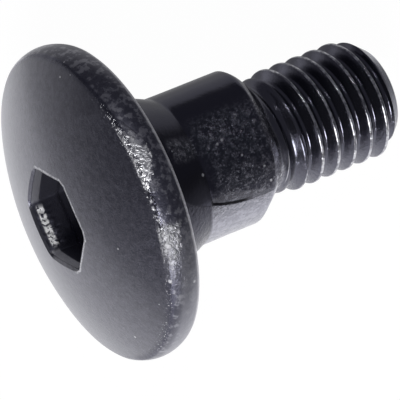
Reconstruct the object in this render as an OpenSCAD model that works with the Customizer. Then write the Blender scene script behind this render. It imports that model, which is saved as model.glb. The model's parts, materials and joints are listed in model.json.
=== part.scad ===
// Domed head screw with a plain shoulder, a short coarse thread and a hex socket.
// It is modelled along its own axis and then laid down as it comes to rest on a flat surface:
// the head's side and the last full thread crest touch the surface, with the tip along +X.

/* [Head] */
// Widest diameter of the head
head_d = 21; // [20.5:0.1:24]
// Height of the dome's top above the bearing face, as if the socket were not there
head_h = 4.5; // [4:0.1:4.6]
// Radius of the dome
dome_r = 23; // [20:0.5:25]
// Radius of the bulged side of the head
side_r = 2; // [1.9:0.1:2.1]
// Height of the head's widest point above the bearing face
side_h = 1.1; // [1:0.1:1.2]
// Radius of the edge between the dome and the side
edge_r = 0.5; // [0.3:0.1:0.8]
// Radius of the corner between the side and the bearing face
corner_r = 0.3; // [0.2:0.05:0.5]

/* [Socket] */
// Width across the flats of the hex socket
socket_af = 6; // [5:0.5:7]
// Depth of the socket's flat walls below the dome's top
socket_depth = 4; // [3:0.1:4.5]
// Width of the chamfer along the edges of the socket's mouth
mouth_chamfer = 0.15; // [0.1:0.05:0.3]

/* [Shoulder] */
// Diameter of the plain shoulder
shoulder_d = 10; // [9:0.1:11]
// Diameter of the tapered collar where it leaves the head
collar_d = 13.6; // [12:0.1:15]
// Length of the collar, from the bearing face to the shoulder
collar_l = 4.3; // [3.5:0.1:5.5]
// Distance from the bearing face to the corner where the shoulder's end begins
shoulder_l = 9.1; // [8:0.1:9.4]
// Radius of the rounded end of the shoulder
end_r = 2.4; // [2.2:0.1:3]
// Slope of the rounded end where it leaves the shoulder, in degrees
end_slope = 30; // [15:1:35]
// How far the upset end of the shoulder is out of square, in degrees
end_skew = 7.5; // [0:0.5:8]

/* [Thread] */
// Diameter over the thread's crests
thread_d = 8; // [7.7:0.05:8.1]
// Distance from one crest to the next
pitch = 1.25; // [1:0.05:1.5]
// Diameter of the plain neck before the thread
blank_d = 7.5; // [7.1:0.05:7.6]
// Distance from the bearing face to the start of the thread
thread_start = 11.5; // [10.8:0.1:11.6]
// Distance from the bearing face to the tip
length = 19.8; // [18:0.1:24]
// Length of the chamfer at the tip
tip_chamfer = 1.2; // [0.8:0.1:1.4]
// Diameter of the flat end of the tip
tip_d = 6; // [5.6:0.1:6.2]
// Turns over which the thread grows from the plain neck to its full depth
run_out_turns = 0.6; // [0.5:0.1:1.5]
// Angle about the axis at which the thread starts, from a corner of the hex socket
thread_turn = 351; // [0:1:359]

/* [Lay] */
// Turn of the screw about its own axis as it lies, in degrees
roll = 103; // [0:1:359]

/* [Hidden] */
$fn = 96;

// How far neighbouring forms run into each other, so that they join as one solid
overlap = 0.3;

// Centres of the arcs in the head's section, as [radius, height], with heights towards the tip
dome_c = [0, dome_r - head_h];
side_c = [head_d / 2 - side_r, -side_h];
edge_c = outer_crossing(dome_c, dome_r - edge_r, side_c, side_r - edge_r);
corner_z = -corner_r;
corner_c = [side_c.x + sqrt((side_r - corner_r) ^ 2 - (corner_z - side_c.y) ^ 2), corner_z];

shoulder_r = shoulder_d / 2;

// The standard thread triangle, and the depth that is left of it between flat crest and flat root
thread_triangle = pitch * sqrt(3) / 2;
thread_depth = 5 / 8 * thread_triangle;
thread_r = thread_d / 2;
blank_r = blank_d / 2;
tip_r = tip_d / 2;

// Corners of the thread's profile over one pitch, as [height in pitches, depth in thread depths]
crest_flat = 1 / 8;
root_flat = 1 / 4;
root_rounding = 0.06;
flank = (1 - crest_flat - root_flat) / 2;
profile = [
    [0, 0],
    [crest_flat, 0],
    [crest_flat + flank, 1],
    [crest_flat + flank + root_flat / 2, 1 + root_rounding],
    [crest_flat + flank + root_flat, 1]
];
per_pitch = len(profile);
per_turn = 48;
turns = ceil((length - thread_start) / pitch) + 1;
rows = turns * per_pitch;

// The thread's first groove rises out of the neck from just under its surface
start_r = blank_r - 0.05;

// The angle at which the axis dips towards the tip, when the side of the head and the last full
// crest both touch the surface
crest_z = length - tip_chamfer;
span = norm([crest_z - side_c.y, side_c.x - thread_r]);
dip = atan2(side_c.x - thread_r, crest_z - side_c.y) + asin(side_r / span);
lift = crest_z * sin(dip) + thread_r * cos(dip);

// Furthest reach of the dome and of the tip along X, once the axis dips
head_end_x = dome_c.y * cos(dip) - dome_r;
tip_end_x = length * cos(dip) + tip_r * sin(dip);

// Where two circles cross, on the side of the larger radius coordinate
function outer_crossing(c1, r1, c2, r2) =
    let (
        d = norm(c2 - c1),
        a = (d ^ 2 + r1 ^ 2 - r2 ^ 2) / (2 * d),
        h = sqrt(r1 ^ 2 - a ^ 2),
        along = (c2 - c1) / d
    )
    c1 + a * along + h * [-along.y, along.x];

// Direction from one point to another, in degrees
function heading(from, to) = atan2(to.y - from.y, to.x - from.x);

// Points on an arc from angle a0 to angle a1, in steps of about "step" degrees
function arc(c, r, a0, a1, step) =
    let (n = max(2, ceil(abs(a1 - a0) / step)))
    [for (i = [0:n]) c + r * [cos(a0 + (a1 - a0) * i / n), sin(a0 + (a1 - a0) * i / n)]];

// Half section of the head: dome, edge, bulged side, corner and bearing face
module head_section() {
    edge_start = heading(dome_c, edge_c);
    edge_end = heading(side_c, edge_c);
    corner_start = heading(side_c, corner_c);
    polygon(concat(
        [[0, 0]],
        arc(dome_c, dome_r, -90, edge_start, 2),
        arc(edge_c, edge_r, edge_start, edge_end, 10),
        arc(side_c, side_r, edge_end, corner_start, 6),
        arc(corner_c, corner_r, corner_start, 90, 20)
    ));
}

module head() {
    rotate_extrude()
        head_section();
}

// Cone that carries the shoulder's load into the head
module collar() {
    translate([0, 0, -overlap])
        cylinder(r = collar_d / 2, h = overlap);
    cylinder(r1 = collar_d / 2, r2 = shoulder_r, h = collar_l);
}

// Half section of the form that rounds off the shoulder's end. Its corner is at height 0, and
// behind the corner it opens out wider than the shoulder.
module end_section() {
    arc_c = [shoulder_r - end_r * cos(end_slope), -end_r * sin(end_slope)];
    last_slope = acos((blank_r - arc_c.x) / end_r);
    rounded = arc(arc_c, end_r, end_slope, last_slope, 6);
    polygon(concat(
        [[0, -2 * shoulder_d], [shoulder_d, -2 * shoulder_d], [shoulder_d, -shoulder_d]],
        rounded,
        [[0, rounded[len(rounded) - 1].y]]
    ));
}

// Plain shoulder, whose end came out of the die a little out of square
module shoulder() {
    intersection() {
        translate([0, 0, collar_l - overlap])
            cylinder(r = shoulder_r, h = shoulder_l + end_r - collar_l + overlap);
        translate([0, 0, shoulder_l])
            rotate([0, -end_skew, 0])
                rotate_extrude()
                    end_section();
    }
}

// Short plain neck between the shoulder and the thread
module neck() {
    translate([0, 0, shoulder_l])
        cylinder(r = blank_r, h = thread_start - shoulder_l);
}

// Point on the thread's surface. Rows count profile corners along the axis, and columns count
// steps of turn, so a corner climbs one pitch in a full turn of columns.
function thread_point(row, column) =
    let (
        corner = profile[row % per_pitch],
        along = floor(row / per_pitch) + corner[0] + column / per_turn,
        grown = min(1, along / run_out_turns),
        full_r = thread_r - corner[1] * thread_depth,
        r = start_r + (full_r - start_r) * grown,
        a = 360 * column / per_turn
    )
    [r * cos(a), r * sin(a), thread_start + along * pitch];

// Point on the plain ring that closes the thread's surface at one end
function ring_point(column, z) =
    let (a = 360 * column / per_turn)
    [start_r * cos(a), start_r * sin(a), z];

// Threaded stock that runs past the tip. Each column of points is a lower ring point, the profile
// corners and an upper ring point. The last column meets the first one a whole pitch further up.
module threaded_stock() {
    tall = rows + 2;
    low_z = thread_start - overlap;
    high_z = thread_start + (turns + 1) * pitch + overlap;
    points = [
        for (c = [0:per_turn - 1])
            for (k = [0:tall - 1])
                k == 0 ? ring_point(c, low_z) : k == tall - 1 ? ring_point(c, high_z) : thread_point(k - 1, c)
    ];
    sides = [
        for (c = [0:per_turn - 2])
            for (k = [0:tall - 2])
                for (face = [
                    [c * tall + k, c * tall + k + 1, (c + 1) * tall + k],
                    [c * tall + k + 1, (c + 1) * tall + k + 1, (c + 1) * tall + k]
                ])
                    face
    ];
    last = (per_turn - 1) * tall;
    seam = [
        for (k = [1:rows - 1 - per_pitch])
            for (face = [
                [last + k, last + k + 1, k + per_pitch],
                [last + k + 1, k + 1 + per_pitch, k + per_pitch]
            ])
                face
    ];
    seam_low = concat(
        [[last, last + 1, 0]],
        [for (k = [0:per_pitch]) [last + 1, k + 1, k]]
    );
    seam_high = concat(
        [for (k = [rows - per_pitch:rows]) [rows, last + k, last + k + 1]],
        [[rows, last + rows + 1, rows + 1]]
    );
    ends = [
        [for (c = [0:per_turn - 1]) c * tall],
        [for (c = [per_turn - 1:-1:0]) c * tall + tall - 1]
    ];
    polyhedron(points, concat(sides, seam, seam_low, seam_high, ends));
}

// The room that the finished thread keeps to, with the chamfer at its tip
module thread_room() {
    low_z = thread_start - 2 * overlap;
    chamfer_slope = tip_chamfer / (thread_r - tip_r);
    rotate_extrude()
        polygon([
            [0, low_z],
            [shoulder_r, low_z],
            [shoulder_r, crest_z - (shoulder_r - thread_r) * chamfer_slope],
            [tip_r, length],
            [0, length]
        ]);
}

module thread() {
    intersection() {
        rotate([0, 0, thread_turn])
            threaded_stock();
        thread_room();
    }
}

// Hex socket with a drilled point below it and a small chamfer round its mouth
module socket() {
    hex_r = socket_af / 2 / cos(30);
    mouth_r = (socket_af / 2 + mouth_chamfer) / cos(30);
    mouth_z = dome_c.y - sqrt(dome_r ^ 2 - hex_r ^ 2);
    floor_z = socket_depth - head_h;
    above = 1;
    below = 3 * mouth_chamfer;
    point_h = socket_af / 2 * tan(30);
    translate([0, 0, -head_h - above])
        cylinder(r = hex_r, h = socket_depth + above, $fn = 6);
    translate([0, 0, floor_z])
        cylinder(d1 = socket_af, d2 = 0, h = point_h);
    translate([0, 0, mouth_z - above])
        cylinder(r1 = mouth_r + above / cos(30), r2 = mouth_r - below / cos(30), h = above + below, $fn = 6);
}

module screw() {
    color("dimgray")
        translate([-(head_end_x + tip_end_x) / 2, 0, lift])
            rotate([0, 90 + dip, 0])
                rotate([0, 0, roll])
                    difference() {
                        union() {
                            head();
                            collar();
                            shoulder();
                            neck();
                            thread();
                        }
                        socket();
                    }
}

screw();
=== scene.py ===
import json
from math import acos, atan, atan2, ceil, cos, degrees, hypot, pi, radians, sin, sqrt, tan

import bmesh
import bpy
from mathutils import Matrix, Vector, noise


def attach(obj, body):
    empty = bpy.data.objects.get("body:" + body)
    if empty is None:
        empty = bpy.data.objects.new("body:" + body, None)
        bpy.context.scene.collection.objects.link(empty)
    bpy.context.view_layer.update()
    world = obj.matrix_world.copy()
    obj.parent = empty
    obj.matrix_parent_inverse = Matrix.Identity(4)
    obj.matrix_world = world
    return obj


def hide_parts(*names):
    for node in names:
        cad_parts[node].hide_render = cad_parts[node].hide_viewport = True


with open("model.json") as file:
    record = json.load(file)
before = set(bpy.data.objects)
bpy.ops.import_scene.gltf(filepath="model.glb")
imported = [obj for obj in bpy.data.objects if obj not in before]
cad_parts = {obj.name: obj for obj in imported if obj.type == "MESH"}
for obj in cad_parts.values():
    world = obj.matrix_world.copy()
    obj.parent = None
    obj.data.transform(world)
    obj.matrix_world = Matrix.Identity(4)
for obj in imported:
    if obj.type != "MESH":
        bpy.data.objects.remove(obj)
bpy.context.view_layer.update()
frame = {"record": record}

# Lengths are in millimetres. Heights run along the screw's axis, from the bearing face towards the tip.
MM = 0.001

# Head
HEAD_D = 21.0
HEAD_H = 4.5
DOME_R = 23.0
SIDE_R = 2.0
SIDE_H = 1.1
EDGE_R = 0.5
CORNER_R = 0.3

# Socket
SOCKET_AF = 6.0
SOCKET_DEPTH = 4.0
SOCKET_CORNER_R = 0.18
MOUTH_EDGE = 0.15
MOUTH_ROUNDING = 0.9
MOUTH_CORNER = (SOCKET_AF / 2 + MOUTH_EDGE - MOUTH_ROUNDING) * (1 / cos(radians(30)) - 1)
MOUTH_BULGE = 0.07
DOME_HOLE_R = 4.3
DOME_ROWS = 6
EDGE_SHARES = (0.12, 0.5, 0.9)
CONE_SHARES = (0.98, 0.96, 0.7, 0.4, 0.1)
WALL_STEP = 0.2

# Shoulder
SHOULDER_D = 10.0
COLLAR_D = 13.6
COLLAR_L = 4.3
COLLAR_FILLET = 0.3
SHOULDER_L = 9.1
END_R = 2.4
END_SLOPE = 30.0
END_SKEW = 7.5
END_SKEW_RISE = (COLLAR_L + 1, SHOULDER_L - 0.6)
END_SKEW_FADE = (10.2, 11.2)
END_BULGE = 0.3
END_BULGE_RISE = (84, 112)
END_BULGE_FALL = (135, 158)
NECK_FILLET = 0.3
SOFT_STEPS = 6
FINE_STEP = 0.2
COARSE_STEP = 0.3

# Thread
THREAD_D = 8.0
PITCH = 1.25
CREST_WIDTH = PITCH / 8
ROOT_WIDTH = PITCH / 4
BLANK_D = 7.5
THREAD_START = 11.5
LENGTH = 19.8
TIP_CHAMFER = 1.2
TIP_D = 6.0
TIP_MARGIN = 0.002
RUN_OUT_TURNS = 0.6
THREAD_TURN = 351.0
THREAD_START_R = BLANK_D / 2 - 0.05
CREST_ROUNDING = 0.07
RUN_OUT_DEPTH = 0.3
RUN_OUT_Z = 10.2
RUN_OUT_FADE = 0.8
RUN_OUT_SHAPE = (0.06, 0.42)
ROOT_ROUNDING = 0.12
ROOT_DIP = 0.06
MERGE = 0.01
THREAD_MERGE = MERGE / 5

# Columns of points round the axis, one for each degree, and the angle from which an edge looks sharp
COLUMNS = 360
SHARP_EDGE = radians(38)

# A slanting direction, along which hardly any two points are level
SORT_ALONG = Vector((1.0, sqrt(2), sqrt(3)))


def local_frame(record):
    """Matrix from the screw's own millimetres to the frame's metres, worked out from two mounts."""
    mounts = {mount["name"]: mount for mount in record["mounts"]}
    axis = Vector(mounts["shoulder"]["axis"])
    on_axis = Vector(mounts["shoulder"]["pos_m"])
    on_face = Vector(mounts["bearing_face"]["pos_m"])
    origin = on_axis + axis * (on_face - on_axis).dot(axis)
    across = (on_face - origin).normalized()
    turn = Matrix((across.cross(axis), across, axis)).transposed()
    return Matrix.Translation(origin) @ turn.to_4x4() @ Matrix.Scale(MM, 4)


TO_FRAME = local_frame(frame["record"])


def arc(centre, radius, start, end, step):
    """Points on an arc from one angle to another, in degrees, about a step apart."""
    count = max(2, ceil(abs(radians(end - start)) * radius / step))
    angles = [radians(start + (end - start) * i / count) for i in range(count + 1)]
    return [(centre[0] + radius * cos(a), centre[1] + radius * sin(a)) for a in angles]


def line(start, end, step):
    """Points between two ends, about a step apart, with neither of the ends."""
    length = hypot(end[0] - start[0], end[1] - start[1])
    count = max(1, ceil(length / step))
    return [tuple(s + (e - s) * i / count for s, e in zip(start, end)) for i in range(1, count)]


def heading(start, end):
    return degrees(atan2(end[1] - start[1], end[0] - start[0]))


def rounded_corner(before, corner, after, radius, step):
    """Points on the arc that takes off a corner between two straight lines."""
    into = (Vector(corner) - Vector(before)).normalized()
    out = (Vector(after) - Vector(corner)).normalized()
    turn = into.angle_signed(out)
    side = 1 if turn > 0 else -1
    reach = radius * tan(abs(turn) / 2)
    start = Vector(corner) - into * reach
    normal = Vector((into.y, -into.x)) * side
    centre = start + normal * radius
    first = heading(centre, start)
    return arc(centre, radius, first, first - side * degrees(abs(turn)), step)


def soft_corner(before, corner, after):
    """Points on a curve that leaves one line and joins the next, without the first point."""
    points = []
    for i in range(1, SOFT_STEPS + 1):
        share = i / SOFT_STEPS
        leaving = Vector(before).lerp(Vector(corner), share)
        joining = Vector(corner).lerp(Vector(after), share)
        points.append(tuple(leaving.lerp(joining, share)))
    return points


def outer_crossing(centre_a, radius_a, centre_b, radius_b):
    """Where two circles cross, on the side that is further from the axis."""
    apart = Vector(centre_b) - Vector(centre_a)
    along = (apart.length_squared + radius_a ** 2 - radius_b ** 2) / (2 * apart.length)
    off = sqrt(radius_a ** 2 - along ** 2)
    unit = apart.normalized()
    return Vector(centre_a) + unit * along + Vector((-unit.y, unit.x)) * off


DOME_C = (0.0, DOME_R - HEAD_H)
SIDE_C = (HEAD_D / 2 - SIDE_R, -SIDE_H)
SHOULDER_R = SHOULDER_D / 2
THREAD_R = THREAD_D / 2
TIP_R = TIP_D / 2
THREAD_DEPTH = 5 / 8 * PITCH * sqrt(3) / 2
CREST_Z = LENGTH - TIP_CHAMFER


def dome_height(radius):
    return DOME_C[1] - sqrt(DOME_R ** 2 - radius ** 2)


def head_profile():
    """Dome, edge, bulged side, corner and bearing face, as points of radius and height."""
    edge_c = outer_crossing(DOME_C, DOME_R - EDGE_R, SIDE_C, SIDE_R - EDGE_R)
    corner_off = SIDE_R - CORNER_R
    corner_c = (SIDE_C[0] + sqrt(corner_off ** 2 - (SIDE_H - CORNER_R) ** 2), -CORNER_R)
    dome_start = heading(DOME_C, (DOME_HOLE_R, dome_height(DOME_HOLE_R)))
    edge_start = heading(DOME_C, edge_c)
    edge_end = heading(SIDE_C, edge_c)
    corner_start = heading(SIDE_C, corner_c)
    dome = arc(DOME_C, DOME_R, dome_start, edge_start, COARSE_STEP)
    edge = arc(edge_c, EDGE_R, edge_start, edge_end, FINE_STEP / 2)
    side = arc(SIDE_C, SIDE_R, edge_end, corner_start, FINE_STEP)
    corner = arc(corner_c, CORNER_R, corner_start, 90, FINE_STEP / 2)
    return dome + edge[1:] + side[1:] + corner[1:]


def shank_profile(start):
    """Bearing face, collar, shoulder with its rounded end, and neck."""
    root = (COLLAR_D / 2, 0.0)
    waist = (SHOULDER_R, COLLAR_L)
    fillet = rounded_corner(start, root, waist, COLLAR_FILLET, FINE_STEP / 2)
    soft_waist = rounded_corner(root, waist, (SHOULDER_R, SHOULDER_L), 2 * COLLAR_FILLET, FINE_STEP / 2)
    end_c = (SHOULDER_R - END_R * cos(radians(END_SLOPE)), SHOULDER_L - END_R * sin(radians(END_SLOPE)))
    last = degrees(acos((BLANK_D / 2 - end_c[0]) / END_R))
    rounded = arc(end_c, END_R, END_SLOPE, last, FINE_STEP)
    corner = rounded[-1]
    rounded = [point for point in rounded if point[0] > BLANK_D / 2 + NECK_FILLET]
    rounded += soft_corner(rounded[-1], corner, (corner[0], corner[1] + 2 * NECK_FILLET))
    last_point = (THREAD_START_R, THREAD_START)
    neck = line(rounded[-1], (BLANK_D / 2, THREAD_START - FINE_STEP), FINE_STEP / 2)
    return (
        line(start, fillet[0], 2 * COARSE_STEP)
        + fillet
        + line(fillet[-1], soft_waist[0], COARSE_STEP)
        + soft_waist
        + line(soft_waist[-1], rounded[0], FINE_STEP)
        + rounded
        + neck
        + [last_point]
    )


def chain(bm, points):
    """Vertices and edges through points of radius and height, at angle 0."""
    verts = [bm.verts.new((radius, 0.0, height)) for radius, height in points]
    edges = [bm.edges.new(pair) for pair in zip(verts, verts[1:])]
    return verts + edges


def spin(bm, geometry, rise):
    """Sweeps a chain once round the axis, and up by a rise on the way."""
    bmesh.ops.spin(
        bm,
        geom=geometry,
        cent=(0, 0, 0),
        axis=(0, 0, 1),
        dvec=(0, 0, rise / COLUMNS),
        angle=2 * pi,
        space=Matrix.Identity(4),
        steps=COLUMNS,
        use_merge=rise == 0,
        use_normal_flip=False,
        use_duplicate=False,
    )


def settle_order(bm):
    """Sorts points, edges and faces by their places, because spin makes them in no fixed order."""
    bm.verts.sort(key=lambda v: v.co.dot(SORT_ALONG))
    bm.edges.sort(key=lambda e: (e.verts[0].co + e.verts[1].co).dot(SORT_ALONG))
    bm.faces.sort(key=lambda f: f.calc_center_median().dot(SORT_ALONG))
    for elements in (bm.verts, bm.edges, bm.faces):
        elements.index_update()


def around(co):
    """Distance of a point from the axis, and its angle from 0 to 360 degrees."""
    return hypot(co.x, co.y), degrees(atan2(co.y, co.x)) % 360


def smooth_step(value, low, high):
    part = min(1.0, max(0.0, (value - low) / (high - low)))
    return part * part * (3 - 2 * part)


def skewed(co):
    """Height of a point once the shoulder's end leans out of square, and reaches further on one side."""
    lean = smooth_step(co.z, *END_SKEW_RISE) * (1 - smooth_step(co.z, *END_SKEW_FADE))
    angle = around(co)[1]
    bulge = END_BULGE * smooth_step(angle, *END_BULGE_RISE) * (1 - smooth_step(angle, *END_BULGE_FALL))
    return co.z + (co.x * tan(radians(END_SKEW)) + bulge) * lean


def growth(height):
    """How far the thread has grown out of the neck at a height, from 0 to 1."""
    return min(1.0, max(0.0, (height - THREAD_START) / PITCH) / RUN_OUT_TURNS)


def run_out(co, straight_z):
    """Moves a point of the neck or of the thread's start into the shallow groove that the rolling left."""
    if straight_z < RUN_OUT_Z or co.z > THREAD_START + PITCH * RUN_OUT_TURNS:
        return co
    radius, angle = around(co)
    from_crest = (co.z - THREAD_START - CREST_WIDTH / 2) / PITCH - (angle - THREAD_TURN) / 360
    off_crest = 0.5 - abs(from_crest % 1 - 0.5)
    fade_in = smooth_step(straight_z, RUN_OUT_Z, RUN_OUT_Z + RUN_OUT_FADE)
    depth = RUN_OUT_DEPTH * smooth_step(off_crest, *RUN_OUT_SHAPE) * fade_in * (1 - growth(co.z))
    scale = 1 - depth / radius
    return Vector((co.x * scale, co.y * scale, co.z))


def build_body(bm):
    head = head_profile()
    spin(bm, chain(bm, head + shank_profile(head[-1])), 0)
    for v in bm.verts:
        if v.co.z > COLLAR_L:
            straight_z = v.co.z
            v.co.z = skewed(v.co)
            v.co = run_out(v.co, straight_z)


def thread_profile():
    """One pitch of the thread, as points of radius and height, from one crest's middle to the next."""
    flank = (PITCH - CREST_WIDTH - ROOT_WIDTH) / 2
    low_r = THREAD_R - THREAD_DEPTH
    deep_r = low_r - ROOT_DIP * THREAD_DEPTH
    middle = (THREAD_R, 0.0)
    edge = (THREAD_R, CREST_WIDTH / 2)
    foot = (low_r, CREST_WIDTH / 2 + flank)
    root = (deep_r, PITCH / 2)
    crest_arc = rounded_corner(middle, edge, foot, CREST_ROUNDING, CREST_ROUNDING / 2)
    root_arc = rounded_corner(edge, foot, root, ROOT_ROUNDING, ROOT_ROUNDING / 2)
    half = [middle] + crest_arc + line(crest_arc[-1], root_arc[0], COARSE_STEP) + root_arc
    other = [(radius, PITCH - height) for radius, height in reversed(half)]
    return half + [root] + other


def finish_thread_point(co):
    """Fades the thread in at its start and keeps it inside the chamfered tip."""
    radius = hypot(co.x, co.y)
    new_r = THREAD_START_R + (radius - THREAD_START_R) * growth(co.z)
    z = min(max(co.z, THREAD_START), LENGTH - TIP_MARGIN)
    room = THREAD_R - (z - CREST_Z) * (THREAD_R - TIP_R) / TIP_CHAMFER
    new_r = min(new_r, room)
    return Vector((co.x * new_r / radius, co.y * new_r / radius, z))


def build_thread(bm):
    turns = ceil((LENGTH - THREAD_START) / PITCH) + 3
    geometry = chain(bm, thread_profile())
    first = [v for v in geometry if isinstance(v, bmesh.types.BMVert)]
    # After two turns of the sweep, the crest's edge nearer the head is at the start's angle and height.
    drop = 2 * PITCH - CREST_WIDTH / 2
    bmesh.ops.rotate(bm, verts=first, cent=(0, 0, 0), matrix=Matrix.Rotation(radians(THREAD_TURN), 3, "Z"))
    bmesh.ops.translate(bm, verts=first, vec=(0, 0, THREAD_START - drop))
    spin(bm, geometry, PITCH)
    one_turn = list(bm.verts) + list(bm.edges) + list(bm.faces)
    for turn in range(1, turns):
        copy = bmesh.ops.duplicate(bm, geom=one_turn)["geom"]
        raised = [v for v in copy if isinstance(v, bmesh.types.BMVert)]
        bmesh.ops.translate(bm, verts=raised, vec=(0, 0, turn * PITCH))
    settle_order(bm)
    bmesh.ops.remove_doubles(bm, verts=bm.verts, dist=THREAD_MERGE)
    for v in bm.verts:
        v.co = finish_thread_point(v.co)
        v.co = run_out(v.co, v.co.z)
    bmesh.ops.remove_doubles(bm, verts=bm.verts, dist=THREAD_MERGE)
    rim = [e for e in bm.edges if e.is_boundary and e.verts[0].co.z > CREST_Z]
    bmesh.ops.holes_fill(bm, edges=rim, sides=0)


def hexagon(angle, apothem, rounding):
    """Radius of a hexagon with rounded corners, at an angle from one of its corners."""
    from_corner = (degrees(angle) + 30) % 60 - 30
    from_flat = radians(30 - abs(from_corner))
    if from_flat < atan((apothem - rounding) * tan(radians(30)) / apothem):
        return apothem / cos(from_flat)
    reach = (apothem - rounding) / cos(radians(30))
    off = reach * sin(radians(from_corner))
    return reach * cos(radians(from_corner)) + sqrt(rounding ** 2 - off ** 2)


def mouth_outline(angle):
    """Radius of the worn mouth, whose sides bulge a little."""
    from_flat = (degrees(angle) % 60 - 30) / 30
    return hexagon(angle, SOCKET_AF / 2 + MOUTH_EDGE, MOUTH_ROUNDING) + MOUTH_BULGE * (1 - from_flat ** 2)


def socket_rows():
    """Rows of the socket from the dome inwards, as functions of the angle that give radius and height."""
    apothem = SOCKET_AF / 2
    floor_z = SOCKET_DEPTH - HEAD_H

    def on_dome(share):
        def place(angle):
            radius = DOME_HOLE_R + (mouth_outline(angle) - DOME_HOLE_R) * share
            return radius, dome_height(radius)
        return place

    def on_edge(share):
        def place(angle):
            outer = mouth_outline(angle)
            inner = hexagon(angle, apothem, SOCKET_CORNER_R)
            return outer + (inner - outer) * share, dome_height(outer) + MOUTH_EDGE * share
        return place

    def on_wall(depth):
        return lambda angle: (hexagon(angle, apothem, SOCKET_CORNER_R), depth)

    def on_floor(radius, height):
        return lambda angle: (radius, height)

    top = dome_height(apothem) + 2 * MOUTH_EDGE
    walls = [z for _, z in line((0, top), (0, floor_z), WALL_STEP)]
    point_h = apothem * tan(radians(30))
    return (
        [on_dome((i + 1) / DOME_ROWS) for i in range(DOME_ROWS)]
        + [on_edge(share) for share in EDGE_SHARES]
        + [on_wall(z) for z in walls]
        + [on_wall(floor_z)]
        + [on_floor(apothem * share, floor_z + point_h * (1 - share)) for share in CONE_SHARES]
    )


def build_socket(bm):
    rim = [e for e in bm.edges if e.is_boundary and e.verts[0].co.z < dome_height(DOME_HOLE_R) + MERGE]
    for row in socket_rows():
        grown = bmesh.ops.extrude_edge_only(bm, edges=rim)["geom"]
        rim = [e for e in grown if isinstance(e, bmesh.types.BMEdge) and e.is_boundary]
        for v in {v for e in rim for v in e.verts}:
            angle = atan2(v.co.y, v.co.x)
            radius, height = row(angle)
            v.co = Vector((radius * cos(angle), radius * sin(angle), height))
    centre = list({v for e in rim for v in e.verts})
    point_z = SOCKET_DEPTH - HEAD_H + SOCKET_AF / 2 * tan(radians(30))
    bmesh.ops.pointmerge(bm, verts=centre, merge_co=(0, 0, point_z))


def bump_between(value, low, high, soft):
    return smooth_step(value, low - soft, low + soft) * (1 - smooth_step(value, high - soft, high + soft))


def grain(co, scale, octaves=3):
    """Noise from about -1 to 1, with detail down to a fraction of its scale."""
    return noise.fractal(co / scale, 1.0, 2.0, octaves)


# Marks in the surface: the radius that they start from or reach to, the length of their waves and how deep
# they go. Ranges are angles in degrees or heights, and end with the width of their soft ends.
PITTED_FROM = 9.0
PITTED_HEIGHTS = (-2.4, -1.3, 0.3)
PITTED_ANGLES = ((66, 98, 6), (108, 127, 4))
PITTED_WAVE = 0.35
PITTED_DEPTH = 0.015
PITTED_UNEVEN = 0.02
ROUGH_FROM = 4.3
ROUGH_ABOVE = COLLAR_L + 0.4
ROUGH_HEIGHTS = (5.1, 8.6, 0.6)
ROUGH_ANGLES = (62, 128, 14)
ROUGH_WAVE = 0.3
ROUGH_UNEVEN = 0.012
FORGED_FROM = 4.4
FORGED_WAVE = 2.5
FORGED_UNEVEN = 0.012
BROACHED_TO = SOCKET_AF / 2 + 0.6
TORN_DEPTHS = (0.45, 1.3, 0.12)
TORN_ANGLES = (246, 294, 4)
TORN_WAVE = 0.3
TORN_UNEVEN = 0.045


def worn(co):
    """Moves a point by the marks of handling and forging: pits, flats and unevenness."""
    radius, angle = around(co)
    if radius < MERGE:
        return co
    push = 0.0
    if radius > PITTED_FROM:
        band = bump_between(co.z, *PITTED_HEIGHTS)
        patches = sum(bump_between(angle, *angles) for angles in PITTED_ANGLES)
        push -= (PITTED_DEPTH + PITTED_UNEVEN * grain(co, PITTED_WAVE)) * band * patches
    if co.z > ROUGH_ABOVE and radius > ROUGH_FROM:
        rough = bump_between(angle, *ROUGH_ANGLES) * bump_between(co.z, *ROUGH_HEIGHTS)
        push += ROUGH_UNEVEN * grain(co, ROUGH_WAVE) * rough
    if radius > FORGED_FROM:
        push -= FORGED_UNEVEN * (1 + grain(co, FORGED_WAVE, 2))
    scale = 1 + push / radius
    return Vector((co.x * scale, co.y * scale, co.z))


def broached(co):
    """Moves a point of the socket's walls by the marks that the broach left."""
    radius, angle = around(co)
    if radius > BROACHED_TO:
        return co
    depth = co.z - dome_height(SOCKET_AF / 2)
    torn = bump_between(angle, *TORN_ANGLES) * bump_between(depth, *TORN_DEPTHS)
    scale = 1 + TORN_UNEVEN * grain(co, TORN_WAVE, 2) * torn
    return Vector((co.x * scale, co.y * scale, co.z))


def build_screw():
    thread = bmesh.new()
    build_thread(thread)
    mesh = bpy.data.meshes.new("thread")
    thread.to_mesh(mesh)
    thread.free()
    bm = bmesh.new()
    build_body(bm)
    build_socket(bm)
    for v in bm.verts:
        v.co = worn(broached(v.co))
    bm.from_mesh(mesh)
    bpy.data.meshes.remove(mesh)
    settle_order(bm)
    bmesh.ops.remove_doubles(bm, verts=bm.verts, dist=MERGE)
    bmesh.ops.recalc_face_normals(bm, faces=bm.faces)
    settle_order(bm)
    bmesh.ops.transform(bm, matrix=TO_FRAME, verts=bm.verts)
    open_edges = [e for e in bm.edges if not e.is_manifold]
    print("screw", len(bm.verts), "verts", len(bm.faces), "faces", len(open_edges), "open edges")
    screw_mesh = bpy.data.meshes.new("steel_screw")
    bm.to_mesh(screw_mesh)
    bm.free()
    screw_mesh.shade_smooth()
    screw_mesh.set_sharp_from_angle(angle=SHARP_EDGE)
    piece = bpy.data.objects.new("steel_screw", screw_mesh)
    bpy.context.scene.collection.objects.link(piece)
    return piece


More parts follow.
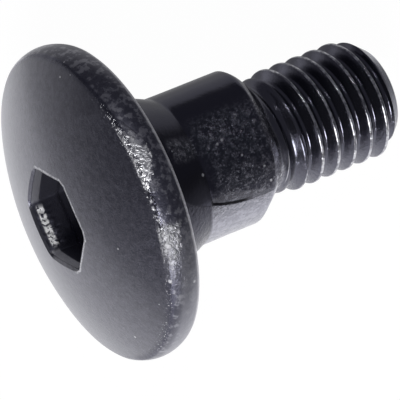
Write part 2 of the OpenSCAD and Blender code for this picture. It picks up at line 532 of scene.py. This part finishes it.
class Value:
    """A socket that gives a number over the surface, with the operators that the finishes use."""

    def __init__(self, finish, socket):
        self.finish = finish
        self.socket = socket

    def math(self, operation, *others):
        inputs = dict(enumerate((self,) + others))
        return self.finish.node("ShaderNodeMath", {"operation": operation}, inputs)

    def __add__(self, other):
        return self.math("ADD", other)

    __radd__ = __add__

    def __sub__(self, other):
        return self.math("SUBTRACT", other)

    def __rsub__(self, other):
        return self.finish.node("ShaderNodeMath", {"operation": "SUBTRACT"}, {0: other, 1: self})

    def __mul__(self, other):
        return self.math("MULTIPLY", other)

    __rmul__ = __mul__

    def between(self, low, high, start=0.0, end=1.0):
        """Rises smoothly from start to end as the value goes from low to high."""
        settings = {"interpolation_type": "SMOOTHSTEP"}
        inputs = {"Value": self, "From Min": low, "From Max": high, "To Min": start, "To Max": end}
        return self.finish.node("ShaderNodeMapRange", settings, inputs)

    def falls(self, low, high):
        """Falls smoothly from 1 to 0 as the value goes from low to high."""
        return self.between(low, high, 1.0, 0.0)

    def window(self, low, high, soft):
        """1 between two values, and 0 outside, with soft ends."""
        return self.between(low - soft, low + soft) * self.falls(high - soft, high + soft)

    def ridges(self, narrow, wide):
        """Thin curled lines along the middle level of a noise."""
        return (self - 0.5).math("ABSOLUTE").falls(narrow, wide)

    def capped(self):
        return self.math("MINIMUM", 1.0)


class Finish:
    """A material, with one method that makes any node of it."""

    def __init__(self, name):
        self.material = bpy.data.materials.new(name)
        self.material.use_nodes = True
        self.tree = self.material.node_tree
        self.tree.nodes.clear()

    def node(self, kind, settings, inputs, output=0):
        made = self.tree.nodes.new(kind)
        for name, value in settings.items():
            setattr(made, name, value)
        for name, value in inputs.items():
            if isinstance(value, Value):
                self.tree.links.new(value.socket, made.inputs[name])
            else:
                made.inputs[name].default_value = value
        return Value(self, made.outputs[output])

    def noise(self, where, scale, detail, roughness=0.5, distortion=0.0):
        inputs = {"Vector": where, "Scale": scale, "Detail": detail}
        inputs.update({"Roughness": roughness, "Distortion": distortion})
        return self.node("ShaderNodeTexNoise", {}, inputs, "Fac")

    def cells(self, where, scale):
        """Distance from the middle of the nearest of many small cells."""
        inputs = {"Vector": where, "Scale": scale}
        return self.node("ShaderNodeTexVoronoi", {"feature": "F1"}, inputs, "Distance")

    def vector(self, operation, *others, output=0):
        return self.node("ShaderNodeVectorMath", {"operation": operation}, dict(enumerate(others)), output)

    def blend(self, factor, first, second):
        """Mixes two colours."""
        inputs = {0: factor, 6: first, 7: second}
        return self.node("ShaderNodeMix", {"data_type": "RGBA"}, inputs, 2)

    def surface(self, shader):
        made = self.tree.nodes.new("ShaderNodeOutputMaterial")
        self.tree.links.new(shader.socket, made.inputs["Surface"])


class Places:
    """The screw's own coordinates over its surface, in millimetres and degrees."""

    def __init__(self, finish):
        here = finish.node("ShaderNodeTexCoord", {}, {}, "Object")
        back = TO_FRAME.inverted().to_3x3()
        offset = finish.vector("SUBTRACT", here, TO_FRAME.translation)
        x, y, z = [finish.vector("DOT_PRODUCT", offset, back[i], output="Value") for i in range(3)]
        self.where = finish.node("ShaderNodeCombineXYZ", {}, {"X": x, "Y": y, "Z": z})
        self.radius = (x * x + y * y).math("SQRT")
        self.angle = (y.math("ARCTAN2", x) * (180 / pi)).math("FLOORED_MODULO", 360.0)
        self.z = z
        self.depth = z - self.radius * self.radius * (1 / (2 * DOME_R)) + HEAD_H
        from_flat = (self.angle.math("FLOORED_MODULO", 60.0) - 30.0) * (pi / 180)
        flat = self.radius * from_flat.math("COSINE")
        bulge = (1 - from_flat * from_flat * (6 / pi) ** 2) * MOUTH_BULGE
        self.across_hexagon = flat.math("MAXIMUM", self.radius - MOUTH_CORNER) - bulge

    def zone(self, angles, heights):
        """1 inside a range of angles and heights, each with the width of its soft ends."""
        return self.angle.window(*angles) * self.z.window(*heights)


class Patterns:
    """The noises that break up the finish, from 0 to 1."""

    def __init__(self, finish, where):
        self.mottle = finish.noise(where, scale=2.2, detail=4.0, roughness=0.6)
        self.fine = finish.noise(where, scale=9.0, detail=3.0, roughness=0.6)
        self.speck = finish.noise(where, scale=6.5, detail=2.0)
        self.broad = finish.noise(where, scale=0.7, detail=3.0)
        self.cloud = finish.noise(where, scale=2.8, detail=5.0, roughness=0.75)
        self.flakes = finish.noise(where, scale=5.0, detail=1.0)
        self.pits = finish.noise(where, scale=3.5, detail=3.0, roughness=0.6)
        self.grit = finish.noise(where, scale=14.0, detail=2.0, roughness=0.6)
        self.grains = finish.cells(where, scale=3.4)
        wide_bends = finish.noise(where, scale=1.9, detail=1.0, distortion=0.9)
        fine_bends = finish.noise(where, scale=2.6, detail=2.0, roughness=0.6, distortion=0.8)
        self.swirl = wide_bends.ridges(0.03, 0.1)
        self.curl = fine_bends.ridges(0.012, 0.05)


class Parts:
    """How far a point belongs to each part of the screw, from 0 to 1."""

    def __init__(self, at):
        neck = at.z.between(8.0, 8.2) * at.radius.falls(3.95, 4.1)
        self.dome = at.z.falls(-2.3, -2.0)
        self.side = at.z.between(-2.1, -1.9) * at.z.falls(-0.2, 0.0)
        self.collar = at.z.between(-0.1, 0.1) * at.z.falls(COLLAR_L - 0.2, COLLAR_L + 0.15)
        self.thread = at.z.between(11.0, 11.4).math("MAXIMUM", neck)
        self.thread_start = self.thread * at.z.falls(12.2, 12.6)
        self.shoulder = at.z.between(COLLAR_L - 0.2, COLLAR_L + 0.15) * (1 - self.thread)


class Socket:
    """The stretches of the socket's walls, from 0 to 1, with painted light on the upper strip of the left
    and low walls, painted shade below it on one wall, and torn steel with painted glints.
    """

    def __init__(self, at, pattern):
        inside = at.radius.falls(3.75, 3.85)
        self.wall = at.depth.between(0.17, 0.22) * inside * at.z.falls(2.0, 3.0)
        # The upper strip of the walls, which is painted as lit on the left and low walls
        self.entry = self.wall * at.depth.falls(0.7, 0.8)
        self.left_entry = self.entry * at.angle.between(298, 302)
        self.low_entry = self.entry * at.angle.window(184, 242, 2)
        # Painted shade on one wall, below its upper strip
        self.shaded = self.wall * at.angle.window(4, 58, 2) * (1 - self.entry)
        self.chamfer = at.depth.window(0.02, 0.17, 0.01) * inside * at.angle.falls(296, 300)
        torn = at.angle.window(246, 295, 3) * at.depth.window(0.4, 0.9, 0.06)
        # Torn steel on the low left wall, painted white so that it shows as glints
        self.torn = self.wall * torn * pattern.flakes.between(0.41, 0.45)


# Zones of wear and of painted highlights: angles in degrees, then heights, each with the width of its soft
# ends
UPPER_PATCH = ((71, 96, 2), (-2.24, -0.9, 0.03))
LOWER_PATCH = ((109.5, 130.5, 1.5), (-2.28, -0.7, 0.03))
EDGE_LINE = ((63, 108, 3), (-2.24, -2.06, 0.04))
EDGE_GRAINS = ((58, 174, 6), (-2.3, -2.05, 0.05))
DULL_EDGE = ((113, 190, 5), (-2.26, -1.94, 0.08))
ROUGH_COLLAR = ((75, 89, 4), (2.3, 4.6, 0.4))
ROUGH_SHOULDER = ((64, 134, 8), (4.7, 10.2, 0.5))
END_PAINTED_GLINT = ((128, 172, 4), (9.3, 10.6, 0.15))
END_LINE = ((42, 78, 6), (9.3, 10.1, 0.1))

# The angles that shapes of wear, of painted reflections and of painted highlights start or centre at
UPPER_MIDDLE = 84.5
LOWER_START = 113.0
LOWER_FADE = (115, 127)
DIM_START = 122.5
PAINTED_REFLECTION_START = 135.5
RING_MIDDLE = 105.0


def dome_edge_wear(at, pattern):
    """Two patches of bright grains along the edge of the dome, and single grains beyond them."""
    ragged = at.z + (pattern.mottle - 0.5) * 1.3 + (pattern.fine - 0.5) * 0.5
    upper_side = ragged + (at.angle - UPPER_MIDDLE).math("ABSOLUTE") * 0.085
    lower_side = ragged + (at.angle - LOWER_START) * 0.04
    grains = 0.42 + 0.5 * pattern.swirl + 0.3 * pattern.grains.falls(0.3, 0.5)
    upper = upper_side.falls(-1.18, -1.03) * at.zone(*UPPER_PATCH)
    lower = lower_side.falls(-1.15, -1.0) * at.zone(*LOWER_PATCH)
    line = at.zone(*EDGE_LINE) * pattern.fine.between(0.45, 0.55) * pattern.grains.falls(0.35, 0.5)
    few = at.zone(*EDGE_GRAINS) * pattern.fine.between(0.62, 0.68)
    return upper * grains + line * 0.8 + few, lower * grains * at.angle.between(*LOWER_FADE, 1.0, 0.12)


def shoulder_painted_reflections(at, pattern):
    """Painted reflections on the shoulder: a pale painted reflection of the lit floor, a dimmer painted
    reflection beside it, and a dark painted streak between them.
    """
    uneven = pattern.fine - 0.5
    before_end = (at.z - 7.5).math("MINIMUM", 0.0)
    past_start = at.angle - PAINTED_REFLECTION_START + before_end * before_end * 0.76 + uneven * 2.0
    streaks = 0.7 + 0.3 * pattern.mottle.between(0.4, 0.6) + 0.1 * pattern.fine.between(0.4, 0.6)
    painted_pale_reflection = past_start.between(0.3, 1.3) * at.angle.falls(215, 260) * streaks
    past_top = at.angle - DIM_START - (at.z - 5.8).math("MAXIMUM", 0.0) * 3.4 + uneven * 4.0
    dim = past_top.between(0.0, 2.0) * past_start.falls(0.3, 1.3)
    dark_line = past_start.window(-1.8, 0.6, 0.4) * at.z.window(4.0, 7.0, 0.5)
    return painted_pale_reflection, dim, dark_line


def scuffs(at, pattern):
    """The rough stretch of the shoulder and collar, with the pale clouds and the specks in it."""
    rough = at.zone(*ROUGH_SHOULDER) + at.zone(*ROUGH_COLLAR)
    curl = pattern.curl * pattern.cloud.between(0.42, 0.56) * pattern.fine.between(0.4, 0.6, 0.3, 1.0)
    dots = pattern.speck.between(0.62, 0.68) * pattern.broad.between(0.4, 0.55)
    specks = rough * (0.6 * curl + 0.6 * dots)
    return rough, rough * pattern.cloud.between(0.46, 0.64), specks.capped()


def painted_edge_highlights(at, pattern, thread):
    """Painted highlights: bright lines on the rim, on the lit side of the socket's mouth, on the shoulder's
    end, on the neck's first ridge and along the crests.
    """
    rim = at.z.window(-0.26, 0.1, 0.05) * at.radius.between(9.85, 10.0)
    rim = rim * (0.6 + 0.4 * pattern.fine.between(0.35, 0.6))
    mouth_r = SOCKET_AF / 2 + MOUTH_EDGE
    mouth = (at.across_hexagon + (pattern.mottle - 0.5) * 0.25).window(mouth_r - 0.02, mouth_r + 0.13, 0.03)
    mouth = mouth * at.z.falls(-3.5, -3.4) * at.angle.window(4, 184, 6)
    mouth = mouth * pattern.fine.between(0.4, 0.55, 0.4, 1.0)
    # A painted glint on the shoulder's end
    end_painted_glint = at.zone(*END_PAINTED_GLINT) * pattern.fine.between(0.42, 0.5)
    end_line = at.zone(*END_LINE) * at.radius.window(4.72, 4.93, 0.04)
    end_line = end_line * pattern.fine.between(0.4, 0.6, 0.2, 1.0)
    ring = (at.z + (at.angle - RING_MIDDLE) * 0.007).window(11.03, 11.09, 0.03)
    ring = ring * at.angle.window(98, 152, 8) * at.radius.falls(3.9, 4.0)
    crest = (at.radius + (pattern.fine - 0.5) * 0.08).between(THREAD_R - 0.05, THREAD_R - 0.02) * thread
    crest = crest * pattern.mottle.between(0.38, 0.6, 0.25, 1.0) * pattern.fine.between(0.35, 0.5, 0.4, 1.0)
    return rim + mouth + crest + end_painted_glint * 0.3 + ring * 0.7 + end_line * 0.35


# Single bare marks on each part: radius, angle, height and size
SHOULDER_MARKS = [
    (5.0, 85.0, 6.2, 0.1),
    (5.0, 86.5, 5.8, 0.08),
    (5.0, 100.4, 7.1, 0.08),
    (5.0, 114.2, 8.4, 0.08),
    (4.98, 127.0, 8.71, 0.1),
    (4.9, 125.5, 8.96, 0.1),
    (4.8, 129.0, 9.4, 0.12),
]
NECK_MARKS = [
    (3.77, 139.9, 10.25, 0.12),
    (3.75, 161.3, 10.35, 0.16),
]
COLLAR_MARKS = [
    (5.11, 103.0, 4.04, 0.12),
    (5.8, 81.0, 2.4, 0.06),
]
DOME_MARKS = [
    (6.55, 121.7, -3.55, 0.07),
    (8.75, 174.9, -2.77, 0.08),
    (9.4, 143.7, -2.49, 0.05),
    (9.48, 34.8, -2.45, 0.07),
    (9.95, 40.4, -2.23, 0.05),
    (10.3, 34.1, -1.96, 0.06),
]
DOME_EDGE_MARKS = [
    (10.13, 73.7, -2.14, 0.13),
    (10.04, 79.5, -2.19, 0.12),
    (9.93, 90.1, -2.24, 0.11),
    (10.05, 102.3, -2.19, 0.12),
    (10.25, 113.6, -2.03, 0.11),
    (10.24, 116.9, -2.05, 0.13),
    (10.11, 118.6, -2.15, 0.11),
    (10.12, 130.7, -2.15, 0.14),
]
SIDE_MARKS = [
    (10.27, 77.6, -0.19, 0.13),
    (10.44, 83.9, -1.55, 0.12),
    (10.47, 86.6, -1.4, 0.12),
    (10.5, 113.0, -1.16, 0.1),
    (10.42, 133.5, -0.57, 0.11),
]
MARKS = SHOULDER_MARKS + NECK_MARKS + COLLAR_MARKS + DOME_MARKS + DOME_EDGE_MARKS + SIDE_MARKS


def single_marks(at, finish):
    total = 0.0
    for radius, angle, height, size in MARKS:
        turn = radians(angle)
        place = (radius * cos(turn), radius * sin(turn), height)
        off = finish.vector("DISTANCE", at.where, place, output="Value")
        total = off.falls(size * 0.6, size * 1.2) + total
    return total


# Colours of the steel and its oxide, and of painted reflections, highlights and shade, then its bump and
# its coat of oil
OXIDE = (0.075, 0.075, 0.105, 1)
OXIDE_PALE = (0.14, 0.14, 0.18, 1)
SIDE_PALE = (0.32, 0.32, 0.36, 1)
COLLAR_OXIDE = (0.055, 0.055, 0.075, 1)
SHOULDER_OXIDE = (0.075, 0.075, 0.1, 1)
# Painted reflections of the lit floor on the shoulder, pale and dim
PAINTED_REFLECTION_PALE = (0.44, 0.44, 0.49, 1)
PAINTED_REFLECTION_DIM = (0.2, 0.2, 0.23, 1)
# Painted dark: the dark streak on the shoulder and the painted shade in the socket
PAINTED_DARK = (0.015, 0.015, 0.02, 1)
CLOUD = (0.22, 0.22, 0.255, 1)
SCUFFED = (0.55, 0.55, 0.6, 1)
ROLLED = (0.12, 0.12, 0.15, 1)
SOCKET_DEEP = (0.12, 0.12, 0.16, 1)
CHAMFERED = (0.12, 0.12, 0.145, 1)
# Painted light on the upper strip of the socket's left wall
PAINTED_LIT_WALL = (0.34, 0.34, 0.38, 1)
LOW_GRAINS = (0.5, 0.5, 0.52, 1)
BARE = (0.95, 0.95, 0.97, 1)
# Bare marks, and painted highlights on the edges, the crests and the socket's low wall
BRIGHT = (0.75, 0.75, 0.78, 1)
# White for the torn steel, painted to show as glints
TORN_AND_GLINT_WHITE = (1.0, 1.0, 1.0, 1)
BUMP_STRENGTH = 0.5
BUMP_DISTANCE = 0.06 * MM
COAT_ROUGHNESS = 0.3
COAT_IOR = 1.5


def side_mottle_and_painted_sheen(at, pattern):
    """Pale mottling on the side of the head, and a pale painted sheen towards its lower part."""
    return [
        pattern.mottle.between(0.5, 0.62),
        # A pale painted sheen, in two stretches of angle
        at.angle.between(118, 150) * at.z.between(-1.9, -1.4, 0.1, 1.0) * 0.5,
        at.angle.between(106, 122) * at.z.between(-1.6, -1.3) * 0.6,
    ]


def black_steel():
    """Black oxide over forged and rolled steel, worn to bare metal where the screw rubs, with painted
    reflections, highlights, glints and shade.
    """
    finish = Finish("black_steel")
    at = Places(finish)
    pattern = Patterns(finish, at.where)
    part = Parts(at)
    socket = Socket(at, pattern)
    high_wear, low_wear = dome_edge_wear(at, pattern)
    edge_wear = (high_wear + low_wear).capped()
    painted_pale_reflection, dim, dark_line = shoulder_painted_reflections(at, pattern)
    rough, cloud, specks = scuffs(at, pattern)
    edges = painted_edge_highlights(at, pattern, part.thread)
    # Painted highlights and the painted light on the socket's low wall, with the bare marks
    bright = (edges + single_marks(at, finish) + socket.low_entry).capped()
    pale = 0.5 * pattern.mottle.between(0.35, 0.65) + 0.5 * pattern.fine.between(0.35, 0.65)

    layers = [(pale, OXIDE_PALE)]
    # Pale mottling and a painted sheen on the side
    layers += [(part.side * patch, SIDE_PALE) for patch in side_mottle_and_painted_sheen(at, pattern)]
    layers += [
        (part.collar, COLLAR_OXIDE),
        (part.shoulder, SHOULDER_OXIDE),
        # Painted reflections of the lit floor on the shoulder
        (dim * part.shoulder, PAINTED_REFLECTION_DIM),
        (painted_pale_reflection * part.shoulder, PAINTED_REFLECTION_PALE),
        (cloud, CLOUD),
        (specks, SCUFFED),
        # A dark painted streak on the shoulder
        (dark_line * part.shoulder, PAINTED_DARK),
        (part.thread, ROLLED),
        (socket.wall, SOCKET_DEEP),
        # Painted shade on the socket's wall
        (socket.shaded, PAINTED_DARK),
        (socket.chamfer, CHAMFERED),
        # Painted light on the upper strip of the socket's left wall
        (socket.left_entry, PAINTED_LIT_WALL),
        (low_wear, LOW_GRAINS),
        (high_wear.capped(), BARE),
        (bright, BRIGHT),
        # Torn steel with painted glints
        (socket.torn, TORN_AND_GLINT_WHITE),
    ]
    colour = OXIDE
    for share, tone in layers:
        colour = finish.blend(share, colour, tone)

    roughness = 0.14 + 0.25 * part.dome + 0.3 * part.side - 0.06 * part.thread + 0.08 * part.thread_start
    roughness = roughness + (pattern.fine - 0.5) * 0.1 + rough * 0.1 + edge_wear * 0.12
    roughness = roughness + bright * (0.2 - 0.12 * part.thread) + socket.entry * 0.15 + socket.torn * 0.3
    roughness = roughness + at.zone(*DULL_EDGE) * 0.24
    metallic = 1 - 0.05 * part.thread - 0.15 * socket.wall - 0.6 * socket.torn - 0.4 * socket.low_entry

    pits = 0.2 + 0.7 * part.dome + 2.4 * edge_wear + 1.8 * rough + 1.2 * painted_pale_reflection
    grit = 0.1 + 0.5 * part.dome + 0.9 * edge_wear + 0.6 * rough + 0.2 * part.thread + 0.3 * painted_pale_reflection
    ridged = (1.2 * pattern.swirl - 1.4 * pattern.grains) * edge_wear
    height = pattern.pits * pits + pattern.grit * grit + ridged
    bump = {"Strength": BUMP_STRENGTH, "Distance": BUMP_DISTANCE, "Height": height}
    inputs = {
        "Base Color": colour,
        "Metallic": metallic,
        "Roughness": roughness,
        "Normal": finish.node("ShaderNodeBump", {}, bump, "Normal"),
        "Coat Weight": part.dome + part.side * 0.6,
        "Coat Roughness": COAT_ROUGHNESS,
        "Coat IOR": COAT_IOR,
    }
    finish.surface(finish.node("ShaderNodeBsdfPrincipled", {}, inputs))
    return finish.material


FLOOR_RADIUS = 0.6
FLOOR_SIDES = 96
FLOOR_WHITE = (0.85, 0.85, 0.85, 1)
FLOOR_GLOW = (0.97, 0.97, 1.0, 1)
SEEN_SHARE = 0.93
SEEN_WHITE = 1.05

# The floor that the steel mirrors, in millimetres: a round lit patch, shaded behind the screw, and a dim
# stretch behind it
LIT_CENTRE = (-8.5, -6.8)
LIT_RADIUS = 29.0
LIT_SOFT = 2.0
LIT_LEVEL = 1.0
DIM_CENTRE = (10.0, 70.0)
DIM_RADIUS = (50.0, 140.0)
DIM_LEVEL = 0.35
UNLIT_LEVEL = 0.08
SHADE_SLOPE = 0.52
SHADE_HALF_WIDTH = 13.0
SHADE_SOFT = 2.5
SHADE_START = (1.0, 6.0)
SHADE_LEVEL = 0.32


def mirrored_floor(finish):
    """How bright the floor is where the steel mirrors it."""
    here = finish.node("ShaderNodeTexCoord", {}, {}, "Object")
    x = finish.vector("DOT_PRODUCT", here, (1 / MM, 0, 0), output="Value")
    y = finish.vector("DOT_PRODUCT", here, (0, 1 / MM, 0), output="Value")

    def reach(centre):
        off_x, off_y = x - centre[0], y - centre[1]
        return (off_x * off_x + off_y * off_y).math("SQRT")

    lit = reach(LIT_CENTRE).falls(LIT_RADIUS - LIT_SOFT, LIT_RADIUS + LIT_SOFT)
    dim = reach(DIM_CENTRE).between(*DIM_RADIUS, UNLIT_LEVEL + DIM_LEVEL, UNLIT_LEVEL)
    along = x - y * SHADE_SLOPE
    shade = along.window(-SHADE_HALF_WIDTH, SHADE_HALF_WIDTH, SHADE_SOFT) * y.between(*SHADE_START)
    return dim * (1 - lit) + lit * LIT_LEVEL * (1 - shade * (1 - SHADE_LEVEL))


def white_floor():
    """A pale floor that looks white, with a faint shadow, to the camera, and that the steel mirrors."""
    finish = Finish("white_floor")
    ray = finish.node("ShaderNodeLightPath", {}, {}, "Is Camera Ray")
    path = ray.socket.node
    glossy = Value(finish, path.outputs["Is Glossy Ray"])
    clear = Value(finish, path.outputs["Is Transmission Ray"])
    plain = finish.node("ShaderNodeBsdfDiffuse", {}, {"Color": FLOOR_WHITE})
    bright = finish.node("ShaderNodeEmission", {}, {"Color": (1, 1, 1, 1), "Strength": SEEN_WHITE})
    seen = finish.node("ShaderNodeMixShader", {}, {0: (ray + clear) * SEEN_SHARE, 1: plain, 2: bright})
    level = finish.blend(mirrored_floor(finish), (0, 0, 0, 1), FLOOR_GLOW)
    mirrored = finish.node("ShaderNodeEmission", {}, {"Color": level, "Strength": 1.0})
    finish.surface(finish.node("ShaderNodeMixShader", {}, {0: glossy, 1: seen, 2: mirrored}))
    return finish.material


def build_floor():
    bm = bmesh.new()
    bmesh.ops.create_circle(bm, cap_ends=True, segments=FLOOR_SIDES, radius=FLOOR_RADIUS)
    mesh = bpy.data.meshes.new("floor")
    bm.to_mesh(mesh)
    bm.free()
    mesh.materials.append(white_floor())
    floor = bpy.data.objects.new("floor", mesh)
    bpy.context.scene.collection.objects.link(floor)


WALL_RADIUS = 200 * MM
WALL_HEIGHT = 24 * MM
WALL_START = radians(134)
WALL_END = radians(225)
WALL_LEVEL = 0.95
WALL_STEPS = 24


def build_wall():
    """The low far edge of the lit table in front of the screw, which only the steel mirrors."""
    bm = bmesh.new()
    foot = (WALL_RADIUS * sin(WALL_START), WALL_RADIUS * cos(WALL_START), MM)
    low = bm.verts.new(foot)
    high = bm.verts.new((foot[0], foot[1], WALL_HEIGHT))
    edge = bm.edges.new((low, high))
    turn = WALL_START - WALL_END
    bmesh.ops.spin(
        bm,
        geom=[low, high, edge],
        cent=(0, 0, 0),
        axis=(0, 0, 1),
        angle=turn,
        steps=WALL_STEPS,
        use_merge=False,
    )
    mesh = bpy.data.meshes.new("far_edge")
    bm.to_mesh(mesh)
    bm.free()
    finish = Finish("far_edge")
    level = (WALL_LEVEL, WALL_LEVEL, WALL_LEVEL, 1)
    finish.surface(finish.node("ShaderNodeEmission", {}, {"Color": level, "Strength": 1.0}))
    mesh.materials.append(finish.material)
    wall = bpy.data.objects.new("far_edge", mesh)
    bpy.context.scene.collection.objects.link(wall)
    wall.visible_camera = False
    wall.visible_diffuse = False
    wall.visible_shadow = False


def aim(obj, place, target, roll=0.0):
    """Puts an object at a place, looking at a target."""
    back = (Vector(place) - Vector(target)).normalized()
    right = Vector((0, 0, 1)).cross(back).normalized()
    up = back.cross(right)
    turn = Matrix((right, up, back)).transposed() @ Matrix.Rotation(roll, 3, "Z")
    obj.matrix_world = Matrix.Translation(place) @ turn.to_4x4()


# Camera, fitted to the outline, the hex mouth and the head's rear rim
VIEW_HEADING = radians(25.763)
VIEW_ELEVATION = radians(73.887)
VIEW_ROLL = radians(-2.409)
VIEW_TARGET = Vector((-1.7969, -1.5615, 5.0)) * MM
VIEW_DISTANCE = 289.43 * MM
LENS = 406.11
SENSOR = 36.0


def build_camera():
    data = bpy.data.cameras.new("camera")
    data.lens = LENS
    data.sensor_width = SENSOR
    data.clip_start = 0.01
    camera = bpy.data.objects.new("camera", data)
    bpy.context.scene.collection.objects.link(camera)
    level = cos(VIEW_ELEVATION)
    towards = Vector((-sin(VIEW_HEADING) * level, -cos(VIEW_HEADING) * level, sin(VIEW_ELEVATION)))
    aim(camera, VIEW_TARGET + towards * VIEW_DISTANCE, VIEW_TARGET, VIEW_ROLL)
    bpy.context.scene.camera = camera


STUDIO_TONE = (0.1, 0.1, 0.118, 1)
LIT_HEIGHT = 5 * MM


def lamp(name, direction, distance, size, watts):
    """A round lamp that lights the screw from a direction and isn't seen by the camera."""
    data = bpy.data.lights.new(name, "AREA")
    data.shape = "DISK"
    data.size = size
    data.energy = watts
    made = bpy.data.objects.new(name, data)
    bpy.context.scene.collection.objects.link(made)
    aim(made, Vector(direction).normalized() * distance, (0, 0, LIT_HEIGHT))
    made.visible_camera = False


def build_lights():
    lamp("overhead", (0.123, 0.236, 0.964), distance=1.0, size=0.08, watts=0.6)
    lamp("front", (-0.47, -0.783, 0.407), distance=0.8, size=0.34, watts=5.0)
    world = bpy.data.worlds.new("studio")
    bpy.context.scene.world = world
    world.use_nodes = True
    background = world.node_tree.nodes["Background"]
    background.inputs["Color"].default_value = STUDIO_TONE
    background.inputs["Strength"].default_value = 1.0


bpy.context.scene.view_settings.view_transform = "Standard"
screw = build_screw()
screw.data.materials.append(black_steel())
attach(screw, "root")
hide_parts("screw")
build_floor()
build_wall()
build_camera()
build_lights()
